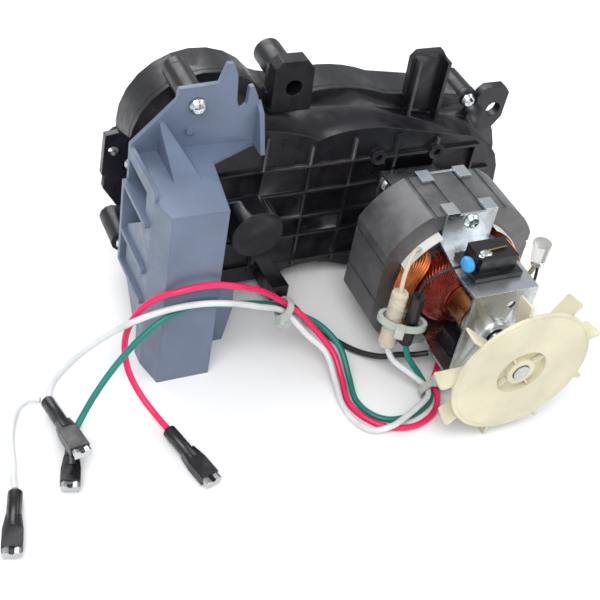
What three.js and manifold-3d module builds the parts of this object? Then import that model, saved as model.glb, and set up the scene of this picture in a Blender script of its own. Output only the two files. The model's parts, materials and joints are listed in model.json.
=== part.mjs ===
// Geared universal motor unit: a ribbed gearbox in two shells, an open-frame brushed motor with a
// radial cooling wheel, a side chute bracket and four loose leads with push-on terminals.
// Millimetres, +Z up. X runs along the gearbox, Y runs from the cooling wheel to the gearbox rear.
// Every sub-part is drawn about the motor axis, and the group lifts that axis above the floor.

import * as THREE from 'three';
import { mergeVertices } from 'three/addons/utils/BufferGeometryUtils.js';
import Module from 'manifold-3d';

const wasm = await Module();
wasm.setup();

// ---------------------------------------------------------------- driving dimensions
const GAP = 0.3; // clearance kept between touching pieces
const AXIS_HEIGHT = 43; // motor axis above the surface the unit stands on
const ORIGIN = { x: 44.75, y: -92.5 }; // motor axis at the wheel's front, seen from the part's origin

const SHAFT = { radius: 4, front: 0, rear: 143 };
const STATOR = {
  radius: 46, flat: 41, bore: 25.3, front: 69, rear: 100,
  slotInner: 28.5, slotOuter: 34.9, neckHalf: 22, shoeHalf: 62, grooveDepth: 0.9, grooveWidth: 1.6,
};
const COIL = { inner: 28.9, outer: 33.6, half: 51, front: 56.5, rear: 112.5, poleHalf: 24, poleGap: 0.8 };
const LINER = { inner: 33.95, outer: 34.55, from: 24, to: 64, overhang: 5 };
const ARMATURE = { radius: 24.4, slots: 12, slotWidth: 2.4, slotDepth: 1.6 };
const WINDING = { frontTip: 52.5, frontRadius: 12.5, rearTip: 110, rearRadius: 13, shoulder: 21.5 };
const COMMUTATOR = { radius: 11.2, front: 38.5, rear: 52 };
const FRAME = {
  front: 27, rear: 125, halfWidth: 17.5, armZ: 26.6, plate: 1.6, tabHalf: 14, tabLength: 6.5, tabWidth: 7, boss: 2.6,
};
const BEARING = { radius: 9.5, length: 9 };
const BRUSH = { width: 8, length: 6.5, y: 45.5, inner: 11.6, outer: 24 };
const HOLDER = { halfX: 10, front: 38.6, rear: 52.4, inner: 15, outer: 37.5, wall: 2 };
const FAN = {
  disc: 36, discThick: 2, blades: 9, tip: 42.7, bladeRoot: 8.5, bladeThick: 1.6, bladeRear: 11,
  collar: 7.3, recess: 12.8, recessDepth: 3.2, hub: 9.5, hubRear: 16, firstBlade: 20,
};

// Gear train, all spur gears on axes parallel to the motor shaft.
const MOTOR_GEAR = { teeth: 8, module: 1.5, y0: 131.2, y1: 140.5 };
const FIRST = {
  x: -41, z: 9, wheelTeeth: 48, wheelModule: 1.5, wheel: [132, 139],
  pinionTeeth: 16, pinionModule: 1.5, pinion: [139, 150.4],
};
const SECOND = {
  x: -87.45, z: 7, wheelTeeth: 46, wheelModule: 1.5, wheel: [141.5, 149],
  pinionTeeth: 14, pinionModule: 2, pinion: [149, 163.4],
};
const OUTPUT = { x: -107.8, z: 43.74, teeth: 28, module: 2, y0: 151.4, y1: 162.4 };
const PIN_RADIUS = 3.5;

// Gearbox shells.
const CASE = {
  face: 126, faceInner: 129.4, ribDepth: 1.8, step: 147, split: 150, rear: 169, wall: 2.6, ribWidth: 1.5,
};
const BOSS = { radius: 13.5, front: 113 };

const MOTOR_OPENING = 11;
const PIN_ENDS = { front: CASE.faceInner - 0.8, rear: CASE.rear - 1.4 };
const OUTPUT_SHAFT = { radius: 5, front: 132, shoulder: 176, rear: 185, squareHalf: 3.4 };
const BUSH = { radius: 8, front: 164.5, rear: 175 };

// Chute bracket.
const CHUTE = {
  left: -148, right: -122, front: 75.5, back: 98, top: 57, bottom: -43, wall: 2.4, plate: 125.7, plateThick: 2.7,
};

const LEAD_RADIUS = 1.5;
const TIE = { radius: 4, width: 3.6, wall: 1.1 };

// ---------------------------------------------------------------- materials
const paint = (color, roughness, metalness) => new THREE.MeshStandardMaterial({ color, roughness, metalness });
const MATERIALS = {
  caseBlack: paint(0x1c1c20, 0.45, 0.0),
  bracketBlue: paint(0x7488a6, 0.42, 0.0),
  fanCream: paint(0xe4dfc4, 0.5, 0.0),
  gearNylon: paint(0xe9e6da, 0.5, 0.0),
  steelPlate: paint(0x77787a, 0.55, 0.7),
  zinc: paint(0xc9ced2, 0.3, 0.9),
  steel: paint(0xb4b7ba, 0.25, 0.95),
  copper: paint(0xb4572a, 0.35, 0.8),
  film: paint(0xeeeeea, 0.6, 0.0),
  carbon: paint(0x2a2a2c, 0.7, 0.1),
  holderBlack: paint(0x19181a, 0.4, 0.0),
  brass: paint(0xb8964e, 0.3, 0.9),
  blue: paint(0x2a9be0, 0.4, 0.0),
  sleeve: paint(0xe8dfce, 0.85, 0.0),
  tieNylon: paint(0xdfe6dc, 0.4, 0.0),
  clear: paint(0xdcdcd8, 0.25, 0.0),
  leadWhite: paint(0xe6e9ea, 0.45, 0.0),
  leadGreen: paint(0x0f8f83, 0.45, 0.0),
  leadRed: paint(0xe83e72, 0.45, 0.0),
  leadBlack: paint(0x1a1a1c, 0.45, 0.0),
};

const unit = new THREE.Group();
unit.position.set(ORIGIN.x, ORIGIN.y, AXIS_HEIGHT);

function addPart(name, geometry, material) {
  const mesh = new THREE.Mesh(geometry, material);
  mesh.name = name;
  unit.add(mesh);
  return mesh;
}

// ---------------------------------------------------------------- joining and cutting
function toSolid(geometry) {
  const bare = geometry.index ? geometry.toNonIndexed() : geometry.clone();
  bare.deleteAttribute('normal');
  bare.deleteAttribute('uv');
  const merged = mergeVertices(bare, 1e-4);
  const corners = merged.index.array;
  const triangles = [];
  for (let start = 0; start < corners.length; start += 3) {
    const [a, b, c] = corners.slice(start, start + 3);
    if (a !== b && b !== c && c !== a) {
      triangles.push(a, b, c);
    }
  }
  const mesh = new wasm.Mesh({
    numProp: 3,
    vertProperties: new Float32Array(merged.attributes.position.array),
    triVerts: new Uint32Array(triangles),
  });
  return new wasm.Manifold(mesh);
}

function toGeometry(solid) {
  const mesh = solid.getMesh();
  const geometry = new THREE.BufferGeometry();
  geometry.setAttribute('position', new THREE.BufferAttribute(new Float32Array(mesh.vertProperties), 3));
  geometry.setIndex(new THREE.BufferAttribute(new Uint32Array(mesh.triVerts), 1));
  return geometry;
}

// Joins the first list of geometries into one solid and takes the second list out of it.
function combine(joined, removed = []) {
  let solid = toSolid(joined[0]);
  for (const extra of joined.slice(1)) {
    solid = solid.add(toSolid(extra));
  }
  for (const tool of removed) {
    solid = solid.subtract(toSolid(tool));
  }
  return toGeometry(solid);
}

// ---------------------------------------------------------------- basic shapes
// A block given by its lowest and highest corners.
function block(x0, x1, y0, y1, z0, z1) {
  const geometry = new THREE.BoxGeometry(x1 - x0, y1 - y0, z1 - z0);
  return geometry.translate((x0 + x1) / 2, (y0 + y1) / 2, (z0 + z1) / 2);
}

// A round bar along Y between y0 and y1, with an end radius that may differ.
function rod(x, z, radius, y0, y1, sides = 32, rearRadius = radius) {
  const geometry = new THREE.CylinderGeometry(rearRadius, radius, y1 - y0, sides);
  return geometry.translate(0, (y1 - y0) / 2, 0).translate(x, y0, z);
}

// A solid whose outline lies in the X-Z plane and which runs from y0 to y1.
function slab(shape, y0, y1, curveSegments = 5) {
  const geometry = new THREE.ExtrudeGeometry(shape, { depth: y1 - y0, bevelEnabled: false, curveSegments });
  return geometry.rotateX(Math.PI / 2).translate(0, y1, 0);
}

// A solid whose outline lies in the X-Y plane and which runs from z0 to z1.
function sheet(shape, z0, z1) {
  const geometry = new THREE.ExtrudeGeometry(shape, { depth: z1 - z0, bevelEnabled: false });
  return geometry.translate(0, 0, z0);
}

// A solid whose outline lies in the Y-Z plane and which runs from x0 to x1.
function profile(shape, x0, x1) {
  const geometry = new THREE.ExtrudeGeometry(shape, { depth: x1 - x0, bevelEnabled: false });
  return geometry.rotateX(Math.PI / 2).rotateZ(Math.PI / 2).translate(x0, 0, 0);
}

// A turned solid about the motor's line through (x, z); each pair is radius and distance along Y.
function turned(x, z, pairs, sides = 32) {
  const points = pairs.map(([radius, y]) => new THREE.Vector2(radius, y));
  return new THREE.LatheGeometry(points, sides).translate(x, 0, z);
}

// A straight-sided outline, turned to run anticlockwise so that its holes may run clockwise.
function polygon(points) {
  const corners = points.map(([a, b]) => new THREE.Vector2(a, b));
  if (THREE.ShapeUtils.isClockWise(corners)) {
    corners.reverse();
  }
  return new THREE.Shape(corners);
}

const radians = (degrees) => THREE.MathUtils.degToRad(degrees);

// A ring sector in the X-Z plane between two radii and two angles from +X.
function sector(inner, outer, fromDegrees, toDegrees) {
  const shape = new THREE.Shape();
  shape.absarc(0, 0, outer, radians(fromDegrees), radians(toDegrees), false);
  shape.absarc(0, 0, inner, radians(toDegrees), radians(fromDegrees), true);
  shape.closePath();
  return shape;
}

// ---------------------------------------------------------------- gears
// Half the angle that a tooth covers at a given radius, with the involute of a 20 degree gear.
function toothHalfAngle(radius, teeth, module, backlash) {
  const pitch = (module * teeth) / 2;
  const base = pitch * Math.cos(radians(20));
  const involute = (r) => {
    const pressure = Math.acos(Math.min(1, base / r));
    return Math.tan(pressure) - pressure;
  };
  const atPitch = Math.PI / (2 * teeth) - backlash / pitch;
  return atPitch + involute(pitch) - involute(Math.max(radius, base));
}

// A spur gear outline whose first tooth points along firstTooth (radians from +X).
function gearShape(teeth, module, firstTooth) {
  const backlash = 0.12;
  const pitch = (module * teeth) / 2;
  const root = pitch - 1.2 * module;
  const tip = pitch + 0.8 * module;
  const points = [];
  for (let index = 0; index < teeth; index += 1) {
    const middle = firstTooth + (2 * Math.PI * index) / teeth;
    for (const [side, radii] of [[-1, [root, tip]], [1, [tip, root]]]) {
      for (const radius of radii) {
        const angle = middle + side * toothHalfAngle(radius, teeth, module, backlash);
        points.push(new THREE.Vector2(radius * Math.cos(angle), radius * Math.sin(angle)));
      }
    }
  }
  return new THREE.Shape(points);
}

// The tooth direction that lets a gear mesh with a driver whose tooth direction is known.
// lineAngle is the direction from the driver's axis to the driven gear's axis.
function meshedTooth(driverTooth, driverTeeth, drivenTeeth, lineAngle) {
  const driverPhase = ((lineAngle - driverTooth) * driverTeeth) / (2 * Math.PI);
  const drivenPhase = 0.5 - driverPhase;
  return lineAngle + Math.PI - (drivenPhase * 2 * Math.PI) / drivenTeeth;
}

const FIRST_LINE = Math.atan2(FIRST.z, FIRST.x);
const SECOND_LINE = Math.atan2(SECOND.z - FIRST.z, SECOND.x - FIRST.x);
const OUTPUT_LINE = Math.atan2(OUTPUT.z - SECOND.z, OUTPUT.x - SECOND.x);
const FIRST_TOOTH = meshedTooth(0, MOTOR_GEAR.teeth, FIRST.wheelTeeth, FIRST_LINE);
const SECOND_TOOTH = meshedTooth(FIRST_LINE, FIRST.pinionTeeth, SECOND.wheelTeeth, SECOND_LINE);
const OUTPUT_TOOTH = meshedTooth(SECOND_LINE, SECOND.pinionTeeth, OUTPUT.teeth, OUTPUT_LINE);

function at(geometry, place) {
  return geometry.translate(place.x, 0, place.z);
}

function buildGearTrain() {
  const pinionShape = gearShape(MOTOR_GEAR.teeth, MOTOR_GEAR.module, 0);
  pinionShape.holes.push(new THREE.Path().absarc(0, 0, SHAFT.radius - 1 + GAP, 0, 2 * Math.PI, true));
  addPart('motor_pinion', slab(pinionShape, MOTOR_GEAR.y0, MOTOR_GEAR.y1, 8), MATERIALS.steel);

  const firstWheel = slab(gearShape(FIRST.wheelTeeth, FIRST.wheelModule, FIRST_TOOTH), ...FIRST.wheel);
  const firstPinion = slab(gearShape(FIRST.pinionTeeth, FIRST.pinionModule, FIRST_LINE), FIRST.wheel[1] - 1,
    FIRST.pinion[1]);
  const firstHole = rod(0, 0, PIN_RADIUS + GAP, FIRST.wheel[0] - 1, FIRST.pinion[1] + 1, 16);
  addPart('first_gear', at(combine([firstWheel, firstPinion], [firstHole]), FIRST), MATERIALS.gearNylon);

  const secondWheel = slab(gearShape(SECOND.wheelTeeth, SECOND.wheelModule, SECOND_TOOTH), ...SECOND.wheel);
  const secondPinion = slab(gearShape(SECOND.pinionTeeth, SECOND.pinionModule, SECOND_LINE),
    SECOND.wheel[1] - 1, SECOND.pinion[1]);
  const secondHole = rod(0, 0, PIN_RADIUS + GAP, SECOND.wheel[0] - 1, SECOND.pinion[1] + 1, 16);
  addPart('second_gear', at(combine([secondWheel, secondPinion], [secondHole]), SECOND), MATERIALS.gearNylon);

  const outputGear = slab(gearShape(OUTPUT.teeth, OUTPUT.module, OUTPUT_TOOTH), OUTPUT.y0, OUTPUT.y1);
  const outputHole = rod(0, 0, OUTPUT_SHAFT.radius + GAP, OUTPUT.y0 - 1, OUTPUT.y1 + 1, 24);
  addPart('output_gear', at(combine([outputGear], [outputHole]), OUTPUT), MATERIALS.gearNylon);

  for (const [name, place] of [['first_gear_pin', FIRST], ['second_gear_pin', SECOND]]) {
    addPart(name, rod(place.x, place.z, PIN_RADIUS, PIN_ENDS.front, PIN_ENDS.rear, 20), MATERIALS.steel);
  }

  // The output shaft ends behind the gearbox in a square driver.
  const journal = turned(OUTPUT.x, OUTPUT.z, [
    [0, OUTPUT_SHAFT.front], [OUTPUT_SHAFT.radius, OUTPUT_SHAFT.front],
    [OUTPUT_SHAFT.radius, OUTPUT_SHAFT.shoulder], [0, OUTPUT_SHAFT.shoulder],
  ], 24);
  const half = OUTPUT_SHAFT.squareHalf;
  const square = block(OUTPUT.x - half, OUTPUT.x + half, OUTPUT_SHAFT.shoulder - 1, OUTPUT_SHAFT.rear,
    OUTPUT.z - half, OUTPUT.z + half);
  addPart('output_shaft', combine([journal, square]), MATERIALS.steel);

  const bush = turned(OUTPUT.x, OUTPUT.z, [
    [OUTPUT_SHAFT.radius + GAP, BUSH.front], [BUSH.radius, BUSH.front],
    [BUSH.radius, BUSH.rear], [OUTPUT_SHAFT.radius + GAP, BUSH.rear],
    [OUTPUT_SHAFT.radius + GAP, BUSH.front],
  ], 24);
  addPart('output_bush', bush, MATERIALS.brass);
}

// ---------------------------------------------------------------- gearbox shells
// Screw posts that hold the two shells together; the last two sit under the case and carry it.
const CASE_SCREWS = [
  { name: 'case_screw_left_upper', x: -142.6, z: 34.5, head: CASE.step },
  { name: 'case_screw_left_lower', x: -144.3, z: -14, head: CASE.step },
  { name: 'case_screw_right', x: 39.9, z: 49.3, head: CASE.step },
  { name: 'case_screw_bottom_left', x: -104, z: -36.6, head: CASE.face + CASE.ribDepth },
  { name: 'case_screw_bottom_right', x: 26, z: -36.6, head: CASE.face + CASE.ribDepth },
];
const BRACKET_SCREW = { name: 'bracket_screw', x: -122.5, z: 79.5, head: CHUTE.plate - CHUTE.plateThick };
const BRACKET_POST_END = 155;
const SCREW = { shank: 1.8, headRadius: 4.1, headHeight: 2.6, length: 19, recess: 1.1 };
const SCREW_END = 163;
const POST_RADIUS = 6.2;
const SCREW_HOLE = SCREW.shank + GAP;

// The outline both shells share where they meet, seen from the wheel side.
function caseOutline(inset) {
  const dome = { x: -107.8, z: 43.7, radius: 36.5 - inset };
  const shape = new THREE.Shape();
  shape.moveTo(-142 + inset, 12);
  shape.lineTo(dome.x - dome.radius, dome.z);
  shape.absarc(dome.x, dome.z, dome.radius, Math.PI, radians(38), true);
  shape.quadraticCurveTo(-68, 61 - inset, -48, 64.5 - inset);
  shape.quadraticCurveTo(-30, 66 - inset, -12, 58.5 - inset);
  shape.lineTo(40, 50 - inset);
  shape.quadraticCurveTo(66 - inset, 36 - inset, 68 - inset, 5);
  shape.quadraticCurveTo(66 - inset, -36 + inset, 34, -37.5 + inset);
  shape.lineTo(-22, -38.5 + inset);
  shape.quadraticCurveTo(-50, -26 + inset, -72, -39.5 + inset);
  shape.lineTo(-112, -39 + inset);
  shape.quadraticCurveTo(-146 + inset, -36 + inset, -142 + inset, 12);
  return shape;
}

// The lower, deeper part of the front shell, whose upper edge waves over the two gear wheels.
function faceOutline(inset) {
  const shape = new THREE.Shape();
  shape.moveTo(-130 + inset, 0);
  shape.lineTo(-130 + inset, 34 - inset);
  shape.quadraticCurveTo(-120, 58 - inset, -92, 58 - inset);
  shape.quadraticCurveTo(-70, 57 - inset, -55, 48.5 - inset);
  shape.quadraticCurveTo(-40, 54 - inset, -20, 52 - inset);
  shape.lineTo(33, 40 - inset);
  shape.quadraticCurveTo(57 - inset, 34 - inset, 58 - inset, 8);
  shape.quadraticCurveTo(56 - inset, -32 + inset, 32, -36.5 + inset);
  shape.lineTo(-24, -37.5 + inset);
  shape.quadraticCurveTo(-50, -25 + inset, -68, -37 + inset);
  shape.lineTo(-110, -37 + inset);
  shape.quadraticCurveTo(-130 + inset, -34 + inset, -130 + inset, 0);
  return shape;
}

function frontShellRibs() {
  const ribs = [];
  const half = CASE.ribWidth / 2;
  const front = CASE.face;
  const back = CASE.face + CASE.ribDepth + 1;
  for (const z of [34.5, 18.5, 3, -9, -26]) {
    ribs.push(block(-122, z > 30 ? 40 : 50, front, back, z - half, z + half));
  }
  for (const [x, top] of [[-83, 54], [-58, 46], [-34.5, 48], [-10, 46], [14, 42], [38, 34]]) {
    ribs.push(block(x - half, x + half, front, back, -30, top));
  }
  return ribs;
}

// A flat ear with a hole, standing on the case's upper edge.
function holedLug(points, holeX, holeZ, holeRadius, y0, y1) {
  const shape = polygon(points);
  shape.holes.push(new THREE.Path().absarc(holeX, holeZ, holeRadius, 0, 2 * Math.PI, true));
  return slab(shape, y0, y1);
}

function buildFrontShell() {
  const flange = slab(caseOutline(0), CASE.step, CASE.split - GAP / 2);
  const body = slab(faceOutline(0), CASE.face + CASE.ribDepth, CASE.step + 1);
  const joined = [flange, body, ...frontShellRibs()];
  joined.push(rod(SECOND.x, SECOND.z, BOSS.radius, BOSS.front, CASE.faceInner, 28));
  joined.push(rod(-20.6, 35.2, 4.4, CASE.face - 1, CASE.faceInner, 16));
  joined.push(rod(13.6, 34.2, 4.4, CASE.face - 1, CASE.faceInner, 16));

  joined.push(holedLug([[-77, 58], [-77.5, 82], [-74, 85.5], [-61, 85.5], [-57, 81], [-56, 58]],
    -66.5, 71, 4.4, 141, 149));
  joined.push(slab(polygon([[0, 50], [-1, 78], [2, 81.5], [16, 81.5], [20, 76], [21, 46]]), 145.5, 149));
  joined.push(block(0.5, 2.5, 140.5, 146, 46, 79));
  joined.push(block(17.5, 19.5, 140.5, 146, 44, 77));
  joined.push(holedLug([[40, 40], [45.5, 54], [49, 57], [60, 57], [63.5, 53], [63, 38], [58, 31], [50, 28]],
    56.2, 43, 4.4, 144, 149));
  joined.push(holedLug([[-136, 40], [-150, 53], [-156.5, 52], [-157.5, 30], [-146, 26], [-138, 26]],
    -152.5, 43, 2.6, 145.5, 149));
  joined.push(slab(polygon([[-138, 28], [-156, 29], [-156.5, 22], [-149, 10], [-138, 12]]), 145.5, 149));
  // The clip under the case that the black lead ends in.
  joined.push(profile(polygon([[104, -22], [104, -31], [110, -33], [131, -33], [131, -24]]), -79, -70));

  const removed = [
    slab(caseOutline(CASE.wall), CASE.split - GAP / 2 - 0.2, CASE.split + 1),
    slab(faceOutline(CASE.wall), CASE.faceInner, CASE.split + 1),
    rod(0, 0, MOTOR_OPENING, CASE.face - 1, CASE.faceInner + 1, 20),
    rod(-20.6, 35.2, 2, CASE.face - 2, CASE.face + 1.5, 12),
    rod(13.6, 34.2, 2, CASE.face - 2, CASE.face + 1.5, 12),
  ];
  const shell = combine(joined, removed);
  // The two pins and the output shaft stand in sockets on the inner face, and the screws in posts.
  const pads = [rod(OUTPUT.x, OUTPUT.z, OUTPUT_SHAFT.radius + 2.6, CASE.faceInner - 1, CASE.faceInner + 11, 20)];
  const sockets = [rod(OUTPUT.x, OUTPUT.z, OUTPUT_SHAFT.radius + GAP, OUTPUT_SHAFT.front - GAP, CASE.split, 20)];
  for (const place of [FIRST, SECOND]) {
    pads.push(rod(place.x, place.z, PIN_RADIUS + 3, CASE.faceInner - 1.4, CASE.faceInner + 1.8, 20));
    sockets.push(rod(place.x, place.z, PIN_RADIUS + GAP, PIN_ENDS.front - GAP, CASE.split, 16));
  }
  for (const screw of [...CASE_SCREWS, BRACKET_SCREW]) {
    const start = screw === BRACKET_SCREW ? CHUTE.plate + GAP : screw.head;
    pads.push(rod(screw.x, screw.z, POST_RADIUS, start, CASE.split - GAP / 2, 12));
    sockets.push(rod(screw.x, screw.z, SCREW_HOLE, start - 1, CASE.split + 1, 8));
    sockets.push(rod(screw.x, screw.z, SCREW.headRadius + 0.6, start - 4, start, 12));
  }
  for (const { x, z } of REAR_SCREWS) {
    pads.push(rod(x, z, 4.4, CASE.face, CASE.faceInner + 2.4, 12));
    sockets.push(rod(x, z, SCREW_HOLE, CASE.face - 1, CASE.faceInner + 4, 12));
  }
  addPart('gearbox_front_shell', combine([shell, ...pads], sockets), MATERIALS.caseBlack);
}

function buildRearShell() {
  const start = CASE.split + GAP / 2;
  const joined = [slab(caseOutline(0), start, CASE.rear)];
  for (const screw of CASE_SCREWS) {
    joined.push(rod(screw.x, screw.z, POST_RADIUS - 0.2, start, CASE.rear, 12));
  }
  joined.push(rod(BRACKET_SCREW.x, BRACKET_SCREW.z, POST_RADIUS - 0.2, start, BRACKET_POST_END, 12));
  joined.push(rod(-68.5, 73.5, 7.3, start, 171, 20));
  joined.push(block(-76, -60, start, start + 4, 58, 76));
  joined.push(rod(OUTPUT.x, OUTPUT.z, BUSH.radius + 3, CASE.rear - 3, BUSH.rear, 20));

  const cavityEnd = CASE.rear - CASE.wall;
  const removed = [
    slab(caseOutline(CASE.wall), start - 1, cavityEnd),
    rod(OUTPUT.x, OUTPUT.z, BUSH.radius + GAP, cavityEnd - 1, BUSH.rear + 1, 20),
  ];
  const shell = combine(joined, removed);
  const sockets = [];
  const holes = [];
  for (const place of [FIRST, SECOND]) {
    sockets.push(rod(place.x, place.z, PIN_RADIUS + 3, cavityEnd - 1.6, CASE.rear - 0.5, 20));
    holes.push(rod(place.x, place.z, PIN_RADIUS + GAP, cavityEnd - 3, PIN_ENDS.rear + GAP, 16));
  }
  for (const screw of [...CASE_SCREWS, BRACKET_SCREW]) {
    const end = screw === BRACKET_SCREW ? BRACKET_POST_END : CASE.rear;
    sockets.push(rod(screw.x, screw.z, POST_RADIUS - 0.2, start, end - 0.5, 12));
    holes.push(rod(screw.x, screw.z, SCREW_HOLE, start - 1, end - 2.5, 8));
  }
  addPart('gearbox_rear_shell', combine([shell, ...sockets], holes), MATERIALS.caseBlack);
}

// A pan head screw along Y, its head's underside at y and its shank running towards the rear.
function screwGeometry(x, z, y, length = SCREW.length) {
  const head = turned(x, z, [
    [0, y - SCREW.headHeight], [SCREW.headRadius * 0.7, y - SCREW.headHeight],
    [SCREW.headRadius, y - SCREW.headHeight * 0.4],
    [SCREW.headRadius, y], [SCREW.shank, y], [SCREW.shank, y + length], [0, y + length],
  ], 10);
  const slots = [];
  for (const turn of [0, Math.PI / 2]) {
    const bar = new THREE.BoxGeometry(SCREW.headRadius, SCREW.recess * 2, 0.9).rotateY(turn);
    slots.push(bar.translate(x, y - SCREW.headHeight, z));
  }
  return combine([head], slots);
}

function buildCaseScrews() {
  for (const screw of CASE_SCREWS) {
    addPart(screw.name, screwGeometry(screw.x, screw.z, screw.head - GAP, SCREW_END - screw.head), MATERIALS.zinc);
  }
  const bracketScrew = screwGeometry(BRACKET_SCREW.x, BRACKET_SCREW.z, BRACKET_SCREW.head - GAP,
    BRACKET_POST_END - 3 - BRACKET_SCREW.head);
  addPart(BRACKET_SCREW.name, bracketScrew, MATERIALS.zinc);
}

// ---------------------------------------------------------------- chute bracket
function buildBracket() {
  const { left, right, front, back, top, bottom, wall, plate, plateThick } = CHUTE;
  const plateFront = plate - plateThick;
  const wingEdge = -154;

  // The upright plate lies against the case and carries the hook and the open slot.
  const face = polygon([
    [-152, top - 3], [-152, 62], [-139.5, 75], [-132, 83], [-131.5, 88.5], [-113, 89.5], [-110, 99], [-107, 99],
    [-104.5, 93], [-103.5, 80], [-102.5, 76.5], [-100.5, 75], [-98.5, 77], [-98, 86], [-96, 86.5], [-93.5, 81],
    [-89.5, 62], [-91, top - 2], [-116, top - 2],
  ]);
  const joined = [slab(face, plateFront, plate)];

  // The top panel runs forward from the plate to the fold over the chute's mouth.
  const panel = polygon([
    [left, front], [right, front], [-117, 111], [-91, plateFront], [-91, plate], [-152, plate], [-152, 88],
  ]);
  joined.push(sheet(panel, top - wall, top));
  joined.push(block(-152, -150.2, 88, plate, top - 1, 61.5));

  // A ridge climbs the plate beside the recess and slopes down to the panel on its right.
  const climb = profile(polygon([[97, top - 1], [plate - 1, top - 1], [plate - 1, 73.5]]), -139.5, -127);
  const slope = slab(polygon([[-138, 73.5], [-126.5, top], [-120, top], [-120, 80], [-138, 80]]), 90, plate + 1);
  joined.push(combine([climb], [slope]));

  // Chute walls, open at the rear and at the bottom.
  joined.push(block(left, right, front, front + wall, bottom, top));
  joined.push(block(right - wall, right, front, back, bottom, top));
  const leftWall = polygon([[left, front], [left + wall, front], [-149.6, back], [-152, back], [-152, 90]]);
  joined.push(sheet(leftWall, bottom, top - 1));

  // Ribbed wing between the chute's left wall and the side of the case.
  for (const z of [42, 15.5, -3]) {
    const rib = polygon([[wingEdge, 92], [-150, 92], [-131.5, plateFront], [-131.5, plate], [wingEdge, plate]]);
    joined.push(sheet(rib, z - wall, z));
  }
  const web = polygon([[90, -26], [90, 42], [94, 42], [120, 20], [120, -6], [104, -26]]);
  joined.push(profile(web, -152, -150.2));
  joined.push(slab(polygon([[wingEdge, -5], [wingEdge, 42], [-132, 42], [-132, -20], [-143, -28]]), plateFront, plate));
  joined.push(block(-152, -134, plateFront, plate, 40, top));

  // Side rib of the right arm, the foot fin behind the chute and the locating pin.
  joined.push(profile(polygon([[112, top - 1], [plate - 1, top - 1], [plate - 1, 78], [119, 74]]), -93.4, -91));
  joined.push(slab(polygon([[-123, -8], [-105, -8], [-104, -22], [-107.5, -43], [-123, -43]]), back - 2.4, back));
  joined.push(rod(-125, 66.5, 1.8, plateFront - 1.4, plateFront + 1, 16));

  const removed = [rod(BRACKET_SCREW.x, BRACKET_SCREW.z, SCREW_HOLE, plateFront - 2, plate + 1, 20)];
  addPart('chute_bracket', combine(joined, removed), MATERIALS.bracketBlue);
}

// ---------------------------------------------------------------- motor: stator
// Round lamination cut flat on four sides, with two shallow grooves on each flat.
function statorShape() {
  const { radius, flat } = STATOR;
  const corner = Math.acos(flat / radius);
  const shape = new THREE.Shape();
  for (let quarter = 0; quarter < 4; quarter += 1) {
    const middle = Math.PI / 4 + (quarter * Math.PI) / 2;
    shape.absarc(0, 0, radius, middle - Math.PI / 4 + corner, middle + Math.PI / 4 - corner, false);
  }
  shape.closePath();
  return shape;
}

function buildStator() {
  const { flat, bore, front, rear, slotInner, slotOuter, neckHalf, shoeHalf, grooveDepth, grooveWidth } = STATOR;
  const body = slab(statorShape(), front, rear, 6);
  const removed = [rod(0, 0, bore, front - 1, rear + 1, 28)];
  for (const side of [0, 180]) {
    removed.push(slab(sector(slotInner, slotOuter, side + neckHalf, side + 180 - neckHalf), front - 1, rear + 1, 16));
    removed.push(slab(sector(bore - 1, slotInner + 0.5, side + shoeHalf, side + 180 - shoeHalf), front - 1, rear + 1));
  }
  for (const x of [-19, -7.5, 7.5, 19]) {
    for (const side of [-1, 1]) {
      const z = side * flat;
      removed.push(block(x - grooveWidth / 2, x + grooveWidth / 2, front - 1, rear + 1,
        z - grooveDepth, z + grooveDepth));
    }
  }
  for (const z of [-7.5, 15]) {
    for (const side of [-1, 1]) {
      const x = side * flat;
      removed.push(block(x - grooveDepth, x + grooveDepth, front - 1, rear + 1,
        z - grooveWidth / 2, z + grooveWidth / 2));
    }
  }
  for (const z of [-FRAME_SCREW_Z, FRAME_SCREW_Z]) {
    removed.push(rod(0, z, SCREW_HOLE, front - 1, rear + 1, 12));
  }
  addPart('stator_core', combine([body], removed), MATERIALS.steelPlate);

  for (const [name, side] of [['field_coil_right', 0], ['field_coil_left', 180]]) {
    const coil = slab(sector(COIL.inner, COIL.outer, side - COIL.half, side + COIL.half), COIL.front, COIL.rear);
    const pole = slab(
      sector(COIL.inner - 2, COIL.outer + 2, side - COIL.poleHalf, side + COIL.poleHalf),
      front - COIL.poleGap, rear + COIL.poleGap,
    );
    addPart(name, combine([coil], [pole]), MATERIALS.copper);
  }
  for (const [name, from, to] of [
    ['slot_liner_upper_right', LINER.from, LINER.to], ['slot_liner_lower_right', -LINER.to, -LINER.from],
    ['slot_liner_upper_left', 180 - LINER.to, 180 - LINER.from],
    ['slot_liner_lower_left', 180 + LINER.from, 180 + LINER.to],
  ]) {
    const liner = sector(LINER.inner, LINER.outer, from, to);
    addPart(name, slab(liner, front - LINER.overhang, rear + LINER.overhang, 8), MATERIALS.film);
  }
}

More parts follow.
